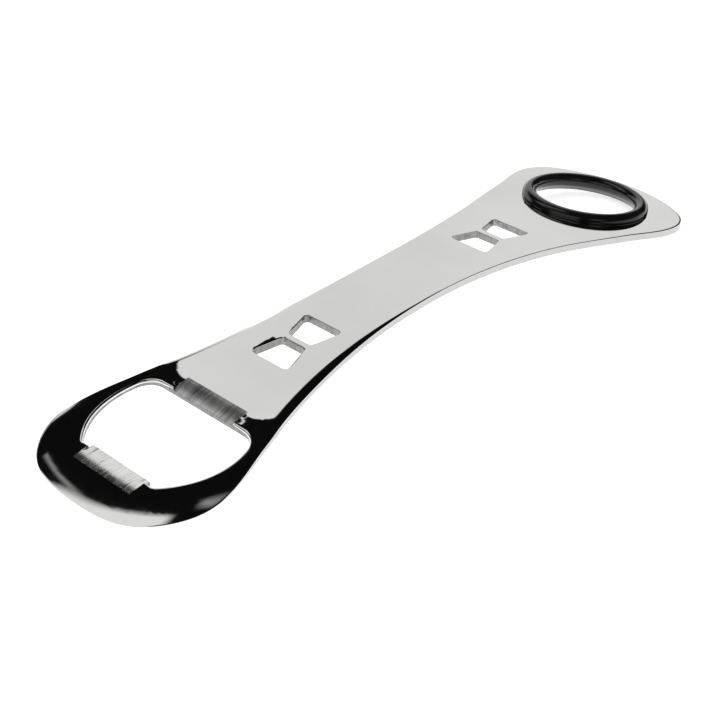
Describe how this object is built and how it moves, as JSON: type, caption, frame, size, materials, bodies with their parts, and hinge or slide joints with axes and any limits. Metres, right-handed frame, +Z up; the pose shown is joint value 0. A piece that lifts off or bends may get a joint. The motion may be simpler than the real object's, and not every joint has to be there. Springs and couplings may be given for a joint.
{
  "type": "bottle opener",
  "caption": "Flat arched steel bar opener with a crown-cap mouth at one end and a black rubber finger ring in a round hole at the other.",
  "frame": {"origin": "middle of the footprint, on the table that the two ends of the arched blade rest on", "axes": "+X from the opener head to the ring end, +Y across the blade, +Z up out of the polished top face"},
  "size_m": [0.18, 0.0464, 0.0106],
  "materials": {
    "polished_steel": "mirror polished stainless steel",
    "black_rubber": "glossy moulded rubber"
  },
  "bodies": {
    "blade": {"steel_blade": "polished_steel"},
    "ring": {"finger_ring": "black_rubber"}
  },
  "joints": [
    {"name": "ring_turn", "type": "hinge", "parent": "blade", "child": "ring", "pos_m": [0.06985, 0, 0.0051], "axis": [0.1444, 0, 0.9895], "continuous": true}
  ]
}
